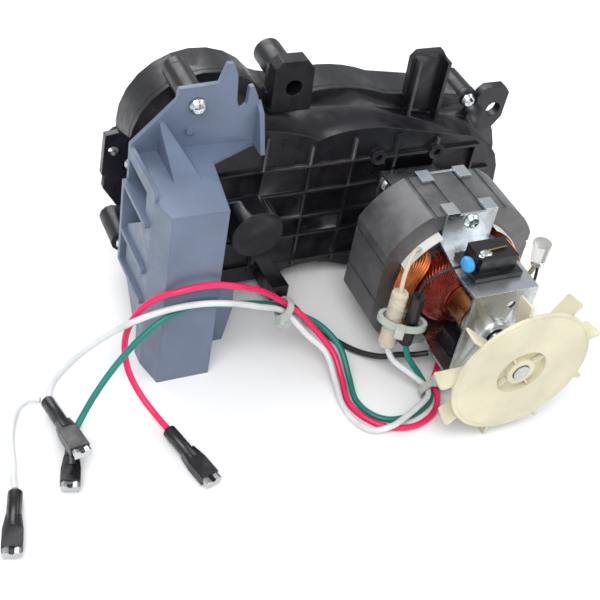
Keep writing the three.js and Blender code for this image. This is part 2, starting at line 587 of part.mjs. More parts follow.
// ---------------------------------------------------------------- motor: rotor
function buildRotor() {
  const coreShape = new THREE.Shape();
  const { radius, slots, slotWidth, slotDepth } = ARMATURE;
  const slotAngle = slotWidth / radius / 2;
  for (let index = 0; index < slots; index += 1) {
    const middle = (2 * Math.PI * index) / slots;
    const next = middle + (2 * Math.PI) / slots;
    const depthRadius = radius - slotDepth;
    coreShape.absarc(0, 0, depthRadius, middle - slotAngle, middle + slotAngle, false);
    coreShape.absarc(0, 0, radius, middle + slotAngle, next - slotAngle, false);
  }
  coreShape.closePath();
  const core = slab(coreShape, STATOR.front, STATOR.rear, 1);
  const coreHole = rod(0, 0, SHAFT.radius + GAP, STATOR.front - 1, STATOR.rear + 1, 24);
  addPart('armature_core', combine([core], [coreHole]), MATERIALS.steelPlate);

  const inner = SHAFT.radius + GAP;
  const { frontTip, frontRadius, rearTip, rearRadius, shoulder } = WINDING;
  addPart('armature_winding_front', turned(0, 0, [
    [inner, frontTip], [frontRadius, frontTip], [shoulder, frontTip + 8], [shoulder, STATOR.front - GAP],
    [inner, STATOR.front - GAP], [inner, frontTip],
  ], 24), MATERIALS.copper);
  addPart('armature_winding_rear', turned(0, 0, [
    [inner, STATOR.rear + GAP], [shoulder, STATOR.rear + GAP], [shoulder, rearTip - 5],
    [rearRadius, rearTip], [inner, rearTip], [inner, STATOR.rear + GAP],
  ], 24), MATERIALS.copper);
  addPart('commutator', turned(0, 0, [
    [inner, COMMUTATOR.front], [COMMUTATOR.radius, COMMUTATOR.front],
    [COMMUTATOR.radius, COMMUTATOR.rear], [inner, COMMUTATOR.rear], [inner, COMMUTATOR.front],
  ], 24), MATERIALS.copper);
  addPart('motor_shaft', turned(0, 0, [
    [0, SHAFT.front], [SHAFT.radius, SHAFT.front], [SHAFT.radius, MOTOR_GEAR.y0 - 1],
    [SHAFT.radius - 1, MOTOR_GEAR.y0 - 1], [SHAFT.radius - 1, SHAFT.rear], [0, SHAFT.rear],
  ], 24), MATERIALS.steel);
}

// ---------------------------------------------------------------- motor: end frames
const FRAME_SCREW_Z = 37.6;
const REAR_SCREW_LENGTH = 7;
const REAR_SCREWS = [
  { name: 'rear_frame_screw_upper', x: -13, z: 19.5 },
  { name: 'rear_frame_screw_lower', x: 13, z: -19.5 },
];

// A strap frame: a bearing plate, two arms back to the stator and tabs that clip over its edge.
function frameGeometry(plateY, statorY, tabEnd) {
  const rearward = Math.sign(statorY - plateY);
  const { halfWidth, armZ, plate, tabHalf, tabWidth } = FRAME;
  const low = (a, b) => Math.min(a, b);
  const high = (a, b) => Math.max(a, b);
  const plateEnd = plateY + rearward * plate;
  const flangeY = statorY - rearward * GAP;
  const flangeFront = flangeY - rearward * plate;
  const joined = [block(-halfWidth, halfWidth, low(plateY, plateEnd), high(plateY, plateEnd), -armZ, armZ)];
  const cup = rearward > 0 ? [plateY + 0.5, plateEnd + BEARING.length] : [plateEnd - BEARING.length, plateY - 0.5];
  joined.push(rod(0, 0, BEARING.radius + GAP + 1.5, cup[0], cup[1], 24));
  const bossEnd = plateY - rearward * FRAME.boss;
  joined.push(rod(0, 0, BEARING.radius - 1.5, low(bossEnd, plateEnd), high(bossEnd, plateEnd), 24));
  for (const side of [-1, 1]) {
    const arm = [side * armZ, side * (armZ - plate)];
    const waistY = plateY + rearward * Math.min(18, Math.abs(flangeY - plateY) / 2);
    const armPlan = polygon([
      [-halfWidth, plateY], [halfWidth, plateY], [halfWidth, waistY], [tabHalf, flangeY], [-tabHalf, flangeY],
      [-halfWidth, waistY],
    ]);
    joined.push(sheet(armPlan, low(...arm), high(...arm)));
    const flange = [side * (armZ - plate), side * (STATOR.flat + GAP + plate)];
    joined.push(block(-tabHalf, tabHalf, low(flangeFront, flangeY), high(flangeFront, flangeY), low(...flange),
      high(...flange)));
    for (const tabSide of [-1, 1]) {
      const tabX = [tabSide * tabHalf, tabSide * (tabHalf - tabWidth)];
      const tabZ = [side * (STATOR.flat + GAP), side * (STATOR.flat + GAP + plate)];
      joined.push(block(low(...tabX), high(...tabX), low(flangeFront, tabEnd), high(flangeFront, tabEnd),
        low(...tabZ), high(...tabZ)));
    }
  }
  const notch = [-1, 1].map((side) => block(-tabHalf + tabWidth, tabHalf - tabWidth, low(flangeFront, flangeY) - 1,
    high(flangeFront, flangeY) + 1, side > 0 ? STATOR.flat + 0.2 : -STATOR.flat - 4,
    side > 0 ? STATOR.flat + 4 : -STATOR.flat - 0.2));
  const removed = [...notch];
  const bearingSeat = rearward > 0 ? [plateY + 1, plateY + 30] : [plateY - 30, plateY - 1];
  removed.push(rod(0, 0, BEARING.radius + GAP, bearingSeat[0], bearingSeat[1], 24));
  removed.push(rod(0, 0, SHAFT.radius + 1.2, plateY - 5, plateY + 5, 24));
  for (const side of [-1, 1]) {
    removed.push(rod(0, side * FRAME_SCREW_Z, SCREW_HOLE, flangeY - 3, flangeY + 3, 16));
  }
  return { joined, removed };
}

function buildFrames() {
  const front = frameGeometry(FRAME.front, STATOR.front, STATOR.front + FRAME.tabLength);
  front.removed.push(block(-HOLDER.halfX - GAP, HOLDER.halfX + GAP, HOLDER.front - GAP, HOLDER.rear + GAP, -45, -12));
  front.removed.push(block(-HOLDER.halfX - GAP, HOLDER.halfX + GAP, HOLDER.front - GAP, HOLDER.rear + GAP, 12, 45));
  front.removed.push(rod(5, 17.5, 2.2, FRAME.front - 1, FRAME.front + 3, 20));
  addPart('front_frame', combine(front.joined, front.removed), MATERIALS.zinc);
  const rear = frameGeometry(FRAME.rear, STATOR.rear, STATOR.rear - FRAME.tabLength);
  for (const { x, z } of REAR_SCREWS) {
    rear.removed.push(rod(x, z, SCREW_HOLE, FRAME.rear - 3, FRAME.rear + 1, 12));
  }
  addPart('rear_frame', combine(rear.joined, rear.removed), MATERIALS.zinc);

  const bearingPairs = (y0) => [
    [SHAFT.radius + GAP, y0], [BEARING.radius, y0], [BEARING.radius, y0 + BEARING.length - 1],
    [SHAFT.radius + GAP, y0 + BEARING.length - 1], [SHAFT.radius + GAP, y0],
  ];
  addPart('front_bearing', turned(0, 0, bearingPairs(FRAME.front + 1 + GAP), 28), MATERIALS.steel);
  addPart('rear_bearing', turned(0, 0, bearingPairs(FRAME.rear - GAP - BEARING.length), 28), MATERIALS.steel);

  for (const [name, z] of [['frame_screw_upper', FRAME_SCREW_Z], ['frame_screw_lower', -FRAME_SCREW_Z]]) {
    addPart(name, screwGeometry(0, z, STATOR.front - 2 * GAP - FRAME.plate, 33), MATERIALS.zinc);
  }
  for (const { name, x, z } of REAR_SCREWS) {
    addPart(name, screwGeometry(x, z, FRAME.rear - FRAME.plate - GAP, REAR_SCREW_LENGTH), MATERIALS.zinc);
  }
}

// ---------------------------------------------------------------- motor: brush gear
function springGeometry(side) {
  const turns = 4;
  const steps = 24;
  const coilRadius = 2.2;
  const start = BRUSH.outer + 1.2;
  const end = HOLDER.outer - HOLDER.wall - 1.2;
  const points = [];
  for (let step = 0; step <= steps; step += 1) {
    const angle = (2 * Math.PI * turns * step) / steps;
    const z = side * (start + ((end - start) * step) / steps);
    points.push(new THREE.Vector3(coilRadius * Math.cos(angle), BRUSH.y + coilRadius * Math.sin(angle), z));
  }
  const section = new THREE.Shape().absarc(0, 0, 0.4, 0, 2 * Math.PI, false);
  const path = new THREE.CatmullRomCurve3(points);
  return new THREE.ExtrudeGeometry(section, { steps, bevelEnabled: false, extrudePath: path, curveSegments: 3 });
}

function buildBrushGear() {
  for (const [suffix, side] of [['upper', 1], ['lower', -1]]) {
    const zRange = (a, b) => [Math.min(side * a, side * b), Math.max(side * a, side * b)];
    const [bodyLow, bodyHigh] = zRange(HOLDER.inner, HOLDER.outer);
    const body = block(-HOLDER.halfX, HOLDER.halfX, HOLDER.front, HOLDER.rear, bodyLow, bodyHigh);
    const lip = zRange(FRAME.armZ + GAP, FRAME.armZ + GAP + 2.4);
    const collar = block(-HOLDER.halfX - 3, HOLDER.halfX + 3, HOLDER.front - 3, HOLDER.rear + 3, ...lip);
    const [tunnelLow, tunnelHigh] = zRange(HOLDER.inner - 1, HOLDER.outer - HOLDER.wall);
    const halfWidth = BRUSH.width / 2 + GAP;
    const halfLength = BRUSH.length / 2 + GAP;
    const tunnel = block(-halfWidth, halfWidth, BRUSH.y - halfLength, BRUSH.y + halfLength, tunnelLow, tunnelHigh);
    addPart(`brush_holder_${suffix}`, combine([body, collar], [tunnel]), MATERIALS.holderBlack);

    const [brushLow, brushHigh] = zRange(BRUSH.inner, BRUSH.outer);
    addPart(`carbon_brush_${suffix}`, block(-BRUSH.width / 2, BRUSH.width / 2, BRUSH.y - BRUSH.length / 2,
      BRUSH.y + BRUSH.length / 2, brushLow, brushHigh), MATERIALS.carbon);
    addPart(`brush_spring_${suffix}`, springGeometry(side), MATERIALS.steel);
  }
}

// ---------------------------------------------------------------- cooling wheel
function buildFan() {
  const { disc, discThick, blades, tip, bladeRoot, bladeThick, bladeRear, firstBlade } = FAN;
  const { collar, recess, recessDepth, hub, hubRear } = FAN;
  const bore = SHAFT.radius + GAP;
  const joined = [turned(0, 0, [
    [bore, 0.6], [collar, 0.6], [collar, recessDepth], [recess, recessDepth], [recess, 0], [disc, 0],
    [disc, discThick], [recess + 1.6, discThick], [recess + 1.6, recessDepth + 1.6], [hub, recessDepth + 1.6],
    [hub, hubRear], [bore, hubRear], [bore, 0.6],
  ], 28)];
  for (let index = 0; index < blades; index += 1) {
    const blade = polygon([
      [bladeRoot, recessDepth + 1], [recess + 0.8, recessDepth + 1], [recess + 0.8, discThick - 0.5],
      [tip - 1, discThick - 1], [tip, discThick + 1], [tip - 1.5, bladeRear], [bladeRoot, bladeRear],
    ]);
    const geometry = sheet(blade, -bladeThick / 2, bladeThick / 2);
    const angle = radians(firstBlade + (360 / blades) * index);
    joined.push(geometry.rotateY(-angle));
  }
  addPart('cooling_fan', combine(joined), MATERIALS.fanCream);
}

// ---------------------------------------------------------------- small electrical pieces
function roundBar(from, to, radius, sides, endRadius = radius) {
  const start = new THREE.Vector3(...from);
  const direction = new THREE.Vector3(...to).sub(start);
  const length = direction.length();
  const geometry = new THREE.CylinderGeometry(endRadius, radius, length, sides).translate(0, length / 2, 0);
  const turn = new THREE.Quaternion().setFromUnitVectors(new THREE.Vector3(0, 1, 0), direction.normalize());
  return geometry.applyQuaternion(turn).translate(start.x, start.y, start.z);
}

function buildElectricals() {
  addPart('suppressor', block(-17, -11.2, 38, 47, 29.5, 37), MATERIALS.blue);
  addPart('thermal_fuse', roundBar([-33.5, 46.5, 14], [-33.5, 46.5, -16], 3.4, 12), MATERIALS.holderBlack);
  addPart('braided_sleeve', roundBar([-40.5, 51.5, 13], [-40.5, 51.5, -20], 3.9, 12), MATERIALS.sleeve);
  addPart('closed_end_connector', roundBar([31, 47, 21], [29.6, 47, 34], 3.4, 12, 4.6), MATERIALS.clear);
}

// A nylon tie: a band about a bundle, with its square head on the side that headSide points to.
// The band may be longer across the head's direction, by the factor stretch.
function tieGeometry(centre, along, headSide, radius, stretch = 1) {
  const direction = new THREE.Vector3(...along).normalize();
  const head = new THREE.Vector3(...headSide).projectOnPlane(direction).normalize();
  const band = new THREE.LatheGeometry([
    new THREE.Vector2(radius, -TIE.width / 2), new THREE.Vector2(radius + TIE.wall, -TIE.width / 2),
    new THREE.Vector2(radius + TIE.wall, TIE.width / 2), new THREE.Vector2(radius, TIE.width / 2),
    new THREE.Vector2(radius, -TIE.width / 2),
  ], 20).scale(1, 1, stretch);
  const lock = new THREE.BoxGeometry(5, 5.4, 4.4).translate(radius + TIE.wall + 1.9, 0, 0);
  const across = new THREE.Vector3().crossVectors(head, direction);
  const basis = new THREE.Matrix4().makeBasis(head, direction, across).setPosition(...centre);
  return combine([band, lock]).applyMatrix4(basis);
}

// ---------------------------------------------------------------- leads
// Routes are measured from the motor axis at the wheel's front face; the floor is at -AXIS_HEIGHT.
const LEAD_ROUTES = {
  lead_white: [
    [-40.4, 51.2, -21], [-37.4, 47.5, -28], [-29.2, 39, -33], [-24.6, 33.7, -35.8], [-24, 31.2, -36.2],
    [-25.6, 27.5, -36.8], [-32, 23.6, -37.5], [-43, 18.5, -37.8], [-52, 15.4, -37.9], [-60, 17.6, -40.6], [-65.5, 26, -41.4], [-67, 37, -41.2], [-65.4, 50, -38.5],
    [-66.2, 63, -31], [-74.3, 69.8, -23.8], [-85.1, 77.6, -12.9], [-101, 74.5, -3], [-118, 70.5, 6.5],
    [-134, 69.5, 10.5], [-150, 71, 8.5], [-166, 74.5, 0], [-180, 78.5, -13], [-190, 81, -26],
    [-197, 80, -35], [-200.4, 74.4, -37.2],
  ],
  lead_red: [
    [-11.6, 44, -33.5], [-15.5, 39, -34], [-19.7, 34, -35.8], [-20.4, 31, -36.2], [-20.6, 26.5, -37.4],
    [-24.5, 20.6, -40.3], [-35, 15.6, -41.4],
    [-46, 15.8, -41.4], [-55, 20.6, -41.4], [-61, 28.3, -41.4], [-63.4, 38.5, -41.2], [-61.6, 51, -38],
    [-62.3, 62, -31.5], [-68.3, 70, -24], [-76, 75.8, -15.5], [-83.3, 79.5, -10.2], [-98, 77.5, 3], [-113, 73, 13.5],
    [-128, 71.5, 19], [-143, 72, 18], [-153, 75.5, 12], [-160.5, 77.5, 2], [-165, 76, -10], [-165, 70, -23],
    [-161, 62, -33], [-156.5, 52.5, -38], [-153.6, 43.4, -38.7],
  ],
  lead_green: [
    [-33.4, 46.4, -16.6], [-31, 44, -25], [-25.2, 41, -33.6], [-22.4, 35, -38.5], [-22.2, 31, -39.2],
    [-23.6, 27.5, -40.3], [-28.5, 24.4, -41.2], [-37, 21.5, -41.4], [-49, 22.3, -41.4], [-56, 28, -41.4], [-59.3, 38, -41.2], [-58, 50, -37.8], [-58.6, 63, -29.5],
    [-66, 73.5, -22.5], [-76, 79.6, -18], [-85.1, 81.4, -12.9], [-101, 78.3, -4.5], [-118, 73.6, 3], [-133, 73.6, 6],
    [-148, 72, 3], [-160, 70, -5], [-172, 66.5, -16], [-183, 61, -27], [-191, 55.5, -36],
    [-195.4, 50.2, -38.7],
  ],
  lead_jumper: [
    [-204.2, 73.6, -36.8], [-209.5, 76, -37.8], [-216, 72, -40.5], [-220.6, 60, -41.4], [-223, 46, -41.3],
    [-225, 36, -40], [-226, 28.6, -38.7],
  ],
  lead_black: [
    [-14.6, 50, -32], [-21, 52, -33.5], [-29, 54.5, -34], [-36, 58, -37], [-45, 68, -40.4], [-55, 83, -40.8], [-62, 93, -38.5], [-68, 99, -32.5],
    [-74.3, 102.4, -28],
  ],
};
const LEAD_STEP = 8; // millimetres between the rings of a lead's solid

function leadGeometry(points) {
  const path = new THREE.CatmullRomCurve3(points.map((point) => new THREE.Vector3(...point)), false, 'centripetal');
  const section = new THREE.Shape().absarc(0, 0, LEAD_RADIUS, 0, 2 * Math.PI, false);
  const steps = Math.ceil(path.getLength() / LEAD_STEP);
  return new THREE.ExtrudeGeometry(section, { steps, bevelEnabled: false, extrudePath: path, curveSegments: 4 });
}

// A push-on terminal: a round sleeve over the crimp, a flat sleeve over the blade socket and its mouth.
const TERMINAL = { sleeve: 3.2, flatHalf: 4.3, flatThick: 2.4, mouthHalf: 3.7, mouthThick: 1.5, mouthLength: 3 };
const TERMINALS = [
  { name: 'terminal_white', from: [-201.2, 71.6, -37], to: [-196.5, 30.5, -27.6] },
  { name: 'terminal_green', from: [-195.8, 49, -38.9], to: [-203.9, 23.2, -39.6] },
  { name: 'terminal_jumper', from: [-226.2, 27, -38.9], to: [-234.6, -2.6, -39.6] },
  { name: 'terminal_red', from: [-153.2, 42, -38.9], to: [-143.6, 9, -39.6] },
];

function terminalGeometry(from, to) {
  const { sleeve, flatHalf, flatThick, mouthHalf, mouthThick, mouthLength } = TERMINAL;
  const start = new THREE.Vector3(...from);
  const along = new THREE.Vector3(...to).sub(start);
  const length = along.length();
  along.normalize();
  const across = new THREE.Vector3().crossVectors(along, new THREE.Vector3(0, 0, 1)).normalize();
  const up = new THREE.Vector3().crossVectors(across, along);
  const flatStart = length * 0.5;
  const joined = [
    rod(0, 0, sleeve, 0, flatStart + 2, 16),
    sheet(polygon([
      [-sleeve, flatStart - 3], [sleeve, flatStart - 3], [flatHalf, flatStart + 4],
      [flatHalf, length - mouthLength], [-flatHalf, length - mouthLength], [-flatHalf, flatStart + 4],
    ]), -flatThick, flatThick),
    block(-mouthHalf, mouthHalf, length - mouthLength - 1, length, -mouthThick, mouthThick),
  ];
  const basis = new THREE.Matrix4().makeBasis(across, along, up).setPosition(start);
  return combine(joined).applyMatrix4(basis);
}

function buildLeads() {
  const materials = {
    lead_white: MATERIALS.leadWhite, lead_red: MATERIALS.leadRed, lead_green: MATERIALS.leadGreen,
    lead_jumper: MATERIALS.leadWhite, lead_black: MATERIALS.leadBlack,
  };
  for (const [name, points] of Object.entries(LEAD_ROUTES)) {
    addPart(name, leadGeometry(points), materials[name]);
  }
  for (const terminal of TERMINALS) {
    addPart(terminal.name, terminalGeometry(terminal.from, terminal.to), MATERIALS.holderBlack);
  }
  addPart('lead_tie_lower', tieGeometry([-22.4, 31, -36.9], [-0.04, -0.99, -0.1], [0.3, 0, 0.95], TIE.radius + 0.8),
    MATERIALS.tieNylon);
  addPart('lead_tie_upper', tieGeometry([-84.5, 79.5, -12], [-0.82, 0.1, 0.56], [-0.3, -0.8, -0.5], TIE.radius + 0.3),
    MATERIALS.tieNylon);
  addPart('fuse_tie', tieGeometry([-37, 49, -3.5], [0, 0, -1], [-0.58, -0.81, 0], 5.1, 1.95), MATERIALS.tieNylon);
}

// ---------------------------------------------------------------- assembly
buildFrontShell();
buildRearShell();
buildGearTrain();
buildCaseScrews();
buildBracket();
buildStator();
buildRotor();
buildFrames();
buildBrushGear();
buildFan();
buildElectricals();
buildLeads();

const part = new THREE.Group();
part.add(unit);

export default part;
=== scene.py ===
"""Looks of the geared universal motor unit: finishes, wound wire, braid and loose leads."""

import json
import math
import random

import bmesh
import bpy
from mathutils import Matrix, Vector


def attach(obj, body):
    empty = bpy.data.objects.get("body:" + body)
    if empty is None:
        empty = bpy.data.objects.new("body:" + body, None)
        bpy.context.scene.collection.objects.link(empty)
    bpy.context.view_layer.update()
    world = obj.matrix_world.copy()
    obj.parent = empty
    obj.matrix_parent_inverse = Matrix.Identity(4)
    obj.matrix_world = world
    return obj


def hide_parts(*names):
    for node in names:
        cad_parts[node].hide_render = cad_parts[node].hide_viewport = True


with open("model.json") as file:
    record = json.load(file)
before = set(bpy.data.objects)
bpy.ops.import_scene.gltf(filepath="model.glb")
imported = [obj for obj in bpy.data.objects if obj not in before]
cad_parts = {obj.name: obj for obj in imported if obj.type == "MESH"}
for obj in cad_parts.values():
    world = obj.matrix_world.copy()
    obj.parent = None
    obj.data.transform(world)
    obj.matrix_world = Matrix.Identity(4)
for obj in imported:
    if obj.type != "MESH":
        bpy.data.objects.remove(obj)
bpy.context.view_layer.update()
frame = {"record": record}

# The motor axis at the wheel's front face, in the row frame, in millimetres.
AXIS = (44.75, -92.5, 43.0)
MM_PER_METRE = 1000


def place(x, y, z):
    """A point given in millimetres from the motor axis, in metres in the row frame."""
    return Vector([(value + start) / MM_PER_METRE for value, start in zip((x, y, z), AXIS)])


# ---------------------------------------------------------------- camera
def make_camera():
    right = Vector((0.9073, -0.3920, 0.1519)).normalized()
    up = Vector((0.1627, 0.6604, 0.7330)).normalized()
    back = right.cross(up).normalized()
    up = back.cross(right)
    turn = Matrix((right, up, back)).transposed().to_4x4()
    camera = bpy.data.objects.new("camera", bpy.data.cameras.new("camera"))
    camera.data.lens = 68.32
    camera.data.sensor_width = 36.0
    camera.data.clip_start = 0.01
    camera.matrix_world = Matrix.Translation(place(-290.017, -273.037, 356.329)) @ turn
    bpy.context.collection.objects.link(camera)
    bpy.context.scene.camera = camera


make_camera()

# ---------------------------------------------------------------- lead routes
LEAD_DIAMETER = 0.003
ROUTES = {
    "lead_white": [
        (-40.4, 51.2, -21), (-37.4, 47.5, -28), (-29.2, 39, -33), (-24.6, 33.7, -35.8),
        (-24, 31.2, -36.2), (-25.6, 27.5, -36.8), (-32, 23.6, -37.5), (-43, 18.5, -37.8),
        (-52, 15.4, -37.9), (-60, 17.6, -40.6), (-65.5, 26, -41.4), (-67, 37, -41.2),
        (-65.4, 50, -38.5), (-66.2, 63, -31), (-74.3, 69.8, -23.8), (-85.1, 77.6, -12.9),
        (-101, 74.5, -3), (-118, 70.5, 6.5), (-134, 69.5, 10.5), (-150, 71, 8.5), (-166, 74.5, 0),
        (-180, 78.5, -13), (-190, 81, -26), (-197, 80, -35), (-200.4, 74.4, -37.2),
    ],
    "lead_red": [
        (-11.6, 44, -33.5), (-15.5, 39, -34), (-19.7, 34, -35.8), (-20.4, 31, -36.2),
        (-20.6, 26.5, -37.4), (-24.5, 20.6, -40.3), (-35, 15.6, -41.4), (-46, 15.8, -41.4),
        (-55, 20.6, -41.4), (-61, 28.3, -41.4), (-63.4, 38.5, -41.2), (-61.6, 51, -38),
        (-62.3, 62, -31.5), (-68.3, 70, -24), (-76, 75.8, -15.5), (-83.3, 79.5, -10.2),
        (-98, 77.5, 3), (-113, 73, 13.5), (-128, 71.5, 19), (-143, 72, 18), (-153, 75.5, 12),
        (-160.5, 77.5, 2), (-165, 76, -10), (-165, 70, -23), (-161, 62, -33), (-156.5, 52.5, -38),
        (-153.6, 43.4, -38.7),
    ],
    "lead_green": [
        (-33.4, 46.4, -16.6), (-31, 44, -25), (-25.2, 41, -33.6), (-22.4, 35, -38.5),
        (-22.2, 31, -39.2), (-23.6, 27.5, -40.3), (-28.5, 24.4, -41.2), (-37, 21.5, -41.4),
        (-49, 22.3, -41.4), (-56, 28, -41.4), (-59.3, 38, -41.2), (-58, 50, -37.8),
        (-58.6, 63, -29.5), (-66, 73.5, -22.5), (-76, 79.6, -18), (-85.1, 81.4, -12.9),
        (-101, 78.3, -4.5), (-118, 73.6, 3), (-133, 73.6, 6), (-148, 72, 3), (-160, 70, -5),
        (-172, 66.5, -16), (-183, 61, -27), (-191, 55.5, -36), (-195.4, 50.2, -38.7),
    ],
    "lead_jumper": [
        (-204.2, 73.6, -36.8), (-209.5, 76, -37.8), (-216, 72, -40.5), (-220.6, 60, -41.4),
        (-223, 46, -41.3), (-225, 36, -40), (-226, 28.6, -38.7),
    ],
    "lead_black": [
        (-14.6, 50, -32), (-21, 52, -33.5), (-29, 54.5, -34), (-36, 58, -37), (-45, 68, -40.4),
        (-55, 83, -40.8), (-62, 93, -38.5), (-68, 99, -32.5), (-74.3, 102.4, -28),
    ],
}


def link(name, data, material, body="housing"):
    thing = bpy.data.objects.new(name, data)
    data.materials.append(material)
    bpy.context.collection.objects.link(thing)
    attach(thing, body)
    return thing


# ---------------------------------------------------------------- materials
def tree(name):
    material = bpy.data.materials.new(name)
    material.use_nodes = True
    nodes = material.node_tree.nodes
    return material, nodes, material.node_tree.links, nodes["Principled BSDF"]


def coordinates(nodes, links, scale=(1, 1, 1)):
    source = nodes.new("ShaderNodeTexCoord")
    mapping = nodes.new("ShaderNodeMapping")
    mapping.inputs["Scale"].default_value = scale
    links.new(source.outputs["Object"], mapping.inputs["Vector"])
    return mapping.outputs["Vector"]


def noise(nodes, links, vector, scale, detail=4.0, rough=0.55):
    node = nodes.new("ShaderNodeTexNoise")
    node.inputs["Scale"].default_value = scale
    node.inputs["Detail"].default_value = detail
    node.inputs["Roughness"].default_value = rough
    links.new(vector, node.inputs["Vector"])
    return node.outputs["Fac"]


def ramp(nodes, links, source, stops):
    """A colour ramp; each stop is a position and a colour, or a single grey value."""
    node = nodes.new("ShaderNodeValToRGB")
    elements = node.color_ramp.elements
    while len(elements) < len(stops):
        elements.new(0.5)
    for element, (position, colour) in zip(elements, stops):
        element.position = position
        grey = isinstance(colour, (int, float))
        element.color = (colour, colour, colour, 1) if grey else (*colour, 1)
    links.new(source, node.inputs["Fac"])
    return node.outputs["Color"]


def bump(nodes, links, height, distance, strength, normal=None):
    node = nodes.new("ShaderNodeBump")
    node.inputs["Distance"].default_value = distance
    node.inputs["Strength"].default_value = strength
    links.new(height, node.inputs["Height"])
    if normal is not None:
        links.new(normal, node.inputs["Normal"])
    return node.outputs["Normal"]


def rounded(nodes, radius):
    node = nodes.new("ShaderNodeBevel")
    node.samples = 4
    node.inputs["Radius"].default_value = radius
    return node.outputs["Normal"]


def shade(colour, factor):
    return tuple(min(1.0, channel * factor) for channel in colour)


def mix(nodes, links, factor, first, second):
    node = nodes.new("ShaderNodeMix")
    node.data_type = "RGBA"
    links.new(factor, node.inputs["Factor"])
    for value, socket in ((first, node.inputs["A"]), (second, node.inputs["B"])):
        if isinstance(value, tuple):
            socket.default_value = (*value, 1)
        else:
            links.new(value, socket)
    return node.outputs["Result"]


def moulded(name, colour, rough=0.42, edge=0.0006, grain=2600, relief=0.00003, dust=0.25, dusty=None):
    """Injection moulded plastic: slow tone drift, fine spark-eroded grain, light scuffs and dust."""
    material, nodes, links, shader = tree(name)
    space = coordinates(nodes, links)
    drift = noise(nodes, links, space, 38, 3)
    tone = ramp(nodes, links, drift, [(0.3, shade(colour, 0.86)), (0.7, shade(colour, 1.13))])
    scuffs = noise(nodes, links, coordinates(nodes, links, (1, 0.16, 2.4)), 420, 6, 0.7)
    marks = ramp(nodes, links, scuffs, [(0.6, 0.0), (0.74, dust)])
    pale = dusty or tuple(min(1.0, channel * 1.5 + 0.06) for channel in colour)
    base = mix(nodes, links, marks, tone, pale)
    links.new(base, shader.inputs["Base Color"])
    gloss = noise(nodes, links, space, 150, 5, 0.65)
    low, high = max(0.05, rough - 0.1), min(1, rough + 0.14)
    roughness = ramp(nodes, links, gloss, [(0.35, low), (0.68, high)])
    links.new(roughness, shader.inputs["Roughness"])
    fine = noise(nodes, links, space, grain, 2)
    soft = bump(nodes, links, drift, 0.0004, 0.12, rounded(nodes, edge))
    normal = bump(nodes, links, fine, relief, 0.5, soft)
    links.new(normal, shader.inputs["Normal"])
    return material


def metal(name, colour, rough=0.3, edge=0.0003, stretch=(1, 14, 1), tarnish=0.35, stain=None):
    """Plated or turned metal: drawn lines along one direction, spots and a dull bloom."""
    material, nodes, links, shader = tree(name)
    shader.inputs["Metallic"].default_value = 1.0
    space = coordinates(nodes, links)
    patches = noise(nodes, links, space, 90, 6, 0.65)
    bloom = ramp(nodes, links, patches, [(0.45, 0.0), (0.72, tarnish)])
    base = mix(nodes, links, bloom, colour, stain or shade(colour, 0.55))
    links.new(base, shader.inputs["Base Color"])
    lines = noise(nodes, links, coordinates(nodes, links, stretch), 900, 5, 0.6)
    low, high = max(0.06, rough - 0.1), rough + 0.2
    roughness = ramp(nodes, links, patches, [(0.3, low), (0.75, high)])
    links.new(roughness, shader.inputs["Roughness"])
    normal = bump(nodes, links, lines, 0.00003, 0.45, rounded(nodes, edge))
    links.new(normal, shader.inputs["Normal"])
    return material


def laminated(name, colour, pitch):
    """A stack of punched sheets seen edge on: a fine line between every two sheets."""
    material, nodes, links, shader = tree(name)
    shader.inputs["Metallic"].default_value = 0.75
    space = coordinates(nodes, links)
    wave = nodes.new("ShaderNodeTexWave")
    wave.wave_type = "BANDS"
    wave.bands_direction = "Y"
    wave.inputs["Scale"].default_value = math.pi / (10 * pitch)
    wave.inputs["Distortion"].default_value = 0.4
    wave.inputs["Detail Scale"].default_value = 40
    links.new(space, wave.inputs["Vector"])
    sheets = wave.outputs["Fac"]
    edges = ramp(nodes, links, sheets, [(0.0, 0.35), (0.35, 1.0)])
    patches = noise(nodes, links, space, 70, 6, 0.65)
    tone = ramp(nodes, links, patches, [(0.3, shade(colour, 0.6)), (0.7, shade(colour, 1.25))])
    base = mix(nodes, links, edges, shade(colour, 0.3), tone)
    links.new(base, shader.inputs["Base Color"])
    roughness = ramp(nodes, links, patches, [(0.3, 0.38), (0.75, 0.66)])
    links.new(roughness, shader.inputs["Roughness"])
    normal = bump(nodes, links, sheets, 0.00012, 0.5, rounded(nodes, 0.0004))
    links.new(normal, shader.inputs["Normal"])
    return material


def enamel(name, colour, rough=0.26):
    """Enamelled copper wire: a clear reddish lacquer over bright metal, darker in patches."""
    material, nodes, links, shader = tree(name)
    shader.inputs["Metallic"].default_value = 0.7
    shader.inputs["Coat Weight"].default_value = 0.6
    space = coordinates(nodes, links)
    patches = noise(nodes, links, space, 160, 5, 0.6)
    tone = ramp(nodes, links, patches, [(0.3, shade(colour, 0.5)), (0.7, shade(colour, 1.3))])
    links.new(tone, shader.inputs["Base Color"])
    roughness = ramp(nodes, links, patches, [(0.3, rough - 0.08), (0.7, rough + 0.16)])
    links.new(roughness, shader.inputs["Roughness"])
    normal = bump(nodes, links, noise(nodes, links, space, 1800, 3), 0.00004, 0.4)
    links.new(normal, shader.inputs["Normal"])
    return material


